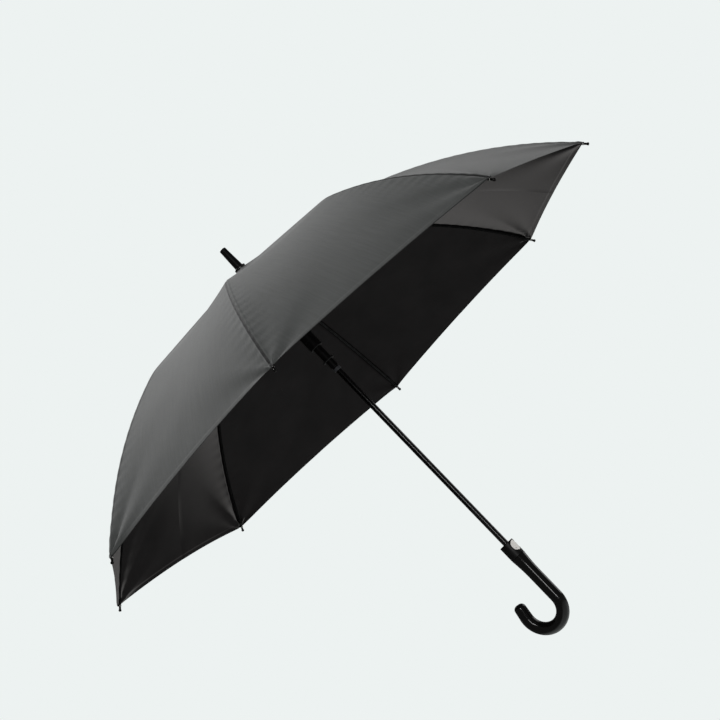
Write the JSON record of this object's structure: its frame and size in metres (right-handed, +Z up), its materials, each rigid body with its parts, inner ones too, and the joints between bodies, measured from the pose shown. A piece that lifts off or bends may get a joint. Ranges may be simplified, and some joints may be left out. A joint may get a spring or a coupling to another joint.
{
  "type": "stick umbrella",
  "caption": "Automatic stick umbrella, shown open: curved panelled canopy on folding ribs, sprung runner on a tube shaft, push button and J crook handle.",
  "frame": {"origin": "on the shaft's axis, at the seam between the button housing and the crook handle", "axes": "+Z up the shaft towards the ferrule; the crook bends towards -X and the button faces +X"},
  "size_m": [0.9762, 0.9762, 0.8046],
  "materials": {
    "canopy_fabric": "plain-weave pongee, dark grey",
    "rib_steel": "black-coated spring steel channel",
    "stretcher_steel": "black-coated steel channel",
    "tip_steel": "nickel-plated turned cap",
    "shaft_paint": "gloss black enamel on steel tube",
    "crook_plastic": "gloss black moulded ABS",
    "housing_plastic": "satin black moulded ABS",
    "runner_plastic": "satin black moulded nylon",
    "catch_ring_plastic": "grey moulded acetal",
    "ferrule_plastic": "gloss black moulded ABS",
    "button_silver": "satin silver coating",
    "wire_steel": "bright drawn wire and sheet",
    "spring_steel": "drawn spring wire",
    "inner_plastic": "moulded nylon",
    "strap_fabric": "doubled pongee strap",
    "snap_metal": "nickel-plated press stud"
  },
  "bodies": {
    "stick": {"shaft": "shaft_paint", "ferrule": "ferrule_plastic", "top_washer": "wire_steel", "top_notch": "runner_plastic", "notch_wire": "wire_steel", "spring_plug": "inner_plastic", "opening_spring": "spring_steel", "handle_crook": "crook_plastic", "button_housing": "housing_plastic", "button_springs": "spring_steel"},
    "rib_1": {"rib_1": "rib_steel", "canopy_panel_1": "canopy_fabric"},
    "rib_outer_1": {"rib_outer_1": "rib_steel", "rib_tip_1": "tip_steel"},
    "stretcher_1": {"stretcher_1": "stretcher_steel"},
    "rib_2": {"rib_2": "rib_steel", "canopy_panel_2": "canopy_fabric"},
    "rib_outer_2": {"rib_outer_2": "rib_steel", "rib_tip_2": "tip_steel"},
    "stretcher_2": {"stretcher_2": "stretcher_steel"},
    "rib_3": {"rib_3": "rib_steel", "canopy_panel_3": "canopy_fabric"},
    "rib_outer_3": {"rib_outer_3": "rib_steel", "rib_tip_3": "tip_steel", "tie_strap": "strap_fabric", "strap_snap": "snap_metal"},
    "stretcher_3": {"stretcher_3": "stretcher_steel"},
    "rib_4": {"rib_4": "rib_steel", "canopy_panel_4": "canopy_fabric"},
    "rib_outer_4": {"rib_outer_4": "rib_steel", "rib_tip_4": "tip_steel"},
    "stretcher_4": {"stretcher_4": "stretcher_steel"},
    "rib_5": {"rib_5": "rib_steel", "canopy_panel_5": "canopy_fabric"},
    "rib_outer_5": {"rib_outer_5": "rib_steel", "rib_tip_5": "tip_steel"},
    "stretcher_5": {"stretcher_5": "stretcher_steel"},
    "rib_6": {"rib_6": "rib_steel", "canopy_panel_6": "canopy_fabric"},
    "rib_outer_6": {"rib_outer_6": "rib_steel", "rib_tip_6": "tip_steel"},
    "stretcher_6": {"stretcher_6": "stretcher_steel"},
    "rib_7": {"rib_7": "rib_steel", "canopy_panel_7": "canopy_fabric"},
    "rib_outer_7": {"rib_outer_7": "rib_steel", "rib_tip_7": "tip_steel"},
    "stretcher_7": {"stretcher_7": "stretcher_steel"},
    "rib_8": {"rib_8": "rib_steel", "canopy_panel_8": "canopy_fabric"},
    "rib_outer_8": {"rib_outer_8": "rib_steel", "rib_tip_8": "tip_steel"},
    "stretcher_8": {"stretcher_8": "stretcher_steel"},
    "runner": {"runner": "runner_plastic", "runner_wire": "wire_steel", "runner_catch_ring": "catch_ring_plastic", "runner_cross_pin": "wire_steel", "spring_follower": "inner_plastic"},
    "button": {"push_button": "button_silver", "latch_slider": "wire_steel"}
  },
  "joints": [
    {"name": "canopy_fold", "type": "hinge", "parent": "stick", "child": "rib_1", "pos_m": [0.00785, 0.00325, 0.62589], "axis": [-0.3827, 0.9239, 0], "range_deg": [0, 73.9], "stiffness_Nm_per_rad": 2, "springref_deg": -85.94, "deforming": ["canopy_panel_1", "canopy_panel_2", "canopy_panel_3", "canopy_panel_4", "canopy_panel_5", "canopy_panel_6", "canopy_panel_7", "canopy_panel_8", "opening_spring"]},
    {"name": "rib_2_fold", "type": "hinge", "parent": "stick", "child": "rib_2", "pos_m": [0.00325, 0.00785, 0.62589], "axis": [-0.9239, 0.3827, 0], "range_deg": [0, 73.9]},
    {"name": "rib_3_fold", "type": "hinge", "parent": "stick", "child": "rib_3", "pos_m": [-0.00325, 0.00785, 0.62589], "axis": [-0.9239, -0.3827, 0], "range_deg": [0, 73.9]},
    {"name": "rib_4_fold", "type": "hinge", "parent": "stick", "child": "rib_4", "pos_m": [-0.00785, 0.00325, 0.62589], "axis": [-0.3827, -0.9239, 0], "range_deg": [0, 73.9]},
    {"name": "rib_5_fold", "type": "hinge", "parent": "stick", "child": "rib_5", "pos_m": [-0.00785, -0.00325, 0.62589], "axis": [0.3827, -0.9239, 0], "range_deg": [0, 73.9]},
    {"name": "rib_6_fold", "type": "hinge", "parent": "stick", "child": "rib_6", "pos_m": [-0.00325, -0.00785, 0.62589], "axis": [0.9239, -0.3827, 0], "range_deg": [0, 73.9]},
    {"name": "rib_7_fold", "type": "hinge", "parent": "stick", "child": "rib_7", "pos_m": [0.00325, -0.00785, 0.62589], "axis": [0.9239, 0.3827, 0], "range_deg": [0, 73.9]},
    {"name": "rib_8_fold", "type": "hinge", "parent": "stick", "child": "rib_8", "pos_m": [0.00785, -0.00325, 0.62589], "axis": [0.3827, 0.9239, 0], "range_deg": [0, 73.9]},
    {"name": "stretcher_1_turn", "type": "hinge", "parent": "rib_1", "child": "stretcher_1", "pos_m": [0.23867, 0.09886, 0.57005], "axis": [-0.3827, 0.9239, 0], "range_deg": [-147.81, 0]},
    {"name": "rib_1_flex", "type": "hinge", "parent": "rib_1", "child": "rib_outer_1", "pos_m": [0.23867, 0.09886, 0.57005], "axis": [-0.3827, 0.9239, 0], "range_deg": [-19.51, 0]},
    {"name": "stretcher_2_turn", "type": "hinge", "parent": "rib_2", "child": "stretcher_2", "pos_m": [0.09886, 0.23867, 0.57005], "axis": [-0.9239, 0.3827, 0], "range_deg": [-147.81, 0]},
    {"name": "rib_2_flex", "type": "hinge", "parent": "rib_2", "child": "rib_outer_2", "pos_m": [0.09886, 0.23867, 0.57005], "axis": [-0.9239, 0.3827, 0], "range_deg": [-19.51, 0]},
    {"name": "stretcher_3_turn", "type": "hinge", "parent": "rib_3", "child": "stretcher_3", "pos_m": [-0.09886, 0.23867, 0.57005], "axis": [-0.9239, -0.3827, 0], "range_deg": [-147.81, 0]},
    {"name": "rib_3_flex", "type": "hinge", "parent": "rib_3", "child": "rib_outer_3", "pos_m": [-0.09886, 0.23867, 0.57005], "axis": [-0.9239, -0.3827, 0], "range_deg": [-19.51, 0]},
    {"name": "stretcher_4_turn", "type": "hinge", "parent": "rib_4", "child": "stretcher_4", "pos_m": [-0.23867, 0.09886, 0.57005], "axis": [-0.3827, -0.9239, 0], "range_deg": [-147.81, 0]},
    {"name": "rib_4_flex", "type": "hinge", "parent": "rib_4", "child": "rib_outer_4", "pos_m": [-0.23867, 0.09886, 0.57005], "axis": [-0.3827, -0.9239, 0], "range_deg": [-19.51, 0]},
    {"name": "stretcher_5_turn", "type": "hinge", "parent": "rib_5", "child": "stretcher_5", "pos_m": [-0.23867, -0.09886, 0.57005], "axis": [0.3827, -0.9239, 0], "range_deg": [-147.81, 0]},
    {"name": "rib_5_flex", "type": "hinge", "parent": "rib_5", "child": "rib_outer_5", "pos_m": [-0.23867, -0.09886, 0.57005], "axis": [0.3827, -0.9239, 0], "range_deg": [-19.51, 0]},
    {"name": "stretcher_6_turn", "type": "hinge", "parent": "rib_6", "child": "stretcher_6", "pos_m": [-0.09886, -0.23867, 0.57005], "axis": [0.9239, -0.3827, 0], "range_deg": [-147.81, 0]},
    {"name": "rib_6_flex", "type": "hinge", "parent": "rib_6", "child": "rib_outer_6", "pos_m": [-0.09886, -0.23867, 0.57005], "axis": [0.9239, -0.3827, 0], "range_deg": [-19.51, 0]},
    {"name": "stretcher_7_turn", "type": "hinge", "parent": "rib_7", "child": "stretcher_7", "pos_m": [0.09886, -0.23867, 0.57005], "axis": [0.9239, 0.3827, 0], "range_deg": [-147.81, 0]},
    {"name": "rib_7_flex", "type": "hinge", "parent": "rib_7", "child": "rib_outer_7", "pos_m": [0.09886, -0.23867, 0.57005], "axis": [0.9239, 0.3827, 0], "range_deg": [-19.51, 0]},
    {"name": "stretcher_8_turn", "type": "hinge", "parent": "rib_8", "child": "stretcher_8", "pos_m": [0.23867, -0.09886, 0.57005], "axis": [0.3827, 0.9239, 0], "range_deg": [-147.81, 0]},
    {"name": "rib_8_flex", "type": "hinge", "parent": "rib_8", "child": "rib_outer_8", "pos_m": [0.23867, -0.09886, 0.57005], "axis": [0.3827, 0.9239, 0], "range_deg": [-19.51, 0]},
    {"name": "runner_carry", "type": "hinge", "parent": "stretcher_1", "child": "runner", "pos_m": [0.00785, 0.00325, 0.51421], "axis": [-0.3827, 0.9239, 0], "range_deg": [0, 73.91]},
    {"name": "button_press", "type": "slide", "parent": "stick", "child": "button", "axis": [-1, 0, 0], "range_m": [0, 0.0017], "stiffness_N_per_m": 1000, "springref_m": -0.004, "deforming": ["button_springs"]}
  ],
  "couplings": [
    {"joint": "rib_2_fold", "follows": "canopy_fold", "ratio": 1},
    {"joint": "rib_3_fold", "follows": "canopy_fold", "ratio": 1},
    {"joint": "rib_4_fold", "follows": "canopy_fold", "ratio": 1},
    {"joint": "rib_5_fold", "follows": "canopy_fold", "ratio": 1},
    {"joint": "rib_6_fold", "follows": "canopy_fold", "ratio": 1},
    {"joint": "rib_7_fold", "follows": "canopy_fold", "ratio": 1},
    {"joint": "rib_8_fold", "follows": "canopy_fold", "ratio": 1},
    {"joint": "stretcher_1_turn", "follows": "canopy_fold", "ratio": -2},
    {"joint": "rib_1_flex", "follows": "canopy_fold", "ratio": -0.26387},
    {"joint": "stretcher_2_turn", "follows": "canopy_fold", "ratio": -2},
    {"joint": "rib_2_flex", "follows": "canopy_fold", "ratio": -0.26387},
    {"joint": "stretcher_3_turn", "follows": "canopy_fold", "ratio": -2},
    {"joint": "rib_3_flex", "follows": "canopy_fold", "ratio": -0.26387},
    {"joint": "stretcher_4_turn", "follows": "canopy_fold", "ratio": -2},
    {"joint": "rib_4_flex", "follows": "canopy_fold", "ratio": -0.26387},
    {"joint": "stretcher_5_turn", "follows": "canopy_fold", "ratio": -2},
    {"joint": "rib_5_flex", "follows": "canopy_fold", "ratio": -0.26387},
    {"joint": "stretcher_6_turn", "follows": "canopy_fold", "ratio": -2},
    {"joint": "rib_6_flex", "follows": "canopy_fold", "ratio": -0.26387},
    {"joint": "stretcher_7_turn", "follows": "canopy_fold", "ratio": -2},
    {"joint": "rib_7_flex", "follows": "canopy_fold", "ratio": -0.26387},
    {"joint": "stretcher_8_turn", "follows": "canopy_fold", "ratio": -2},
    {"joint": "rib_8_flex", "follows": "canopy_fold", "ratio": -0.26387},
    {"joint": "runner_carry", "follows": "canopy_fold", "ratio": 1}
  ]
}
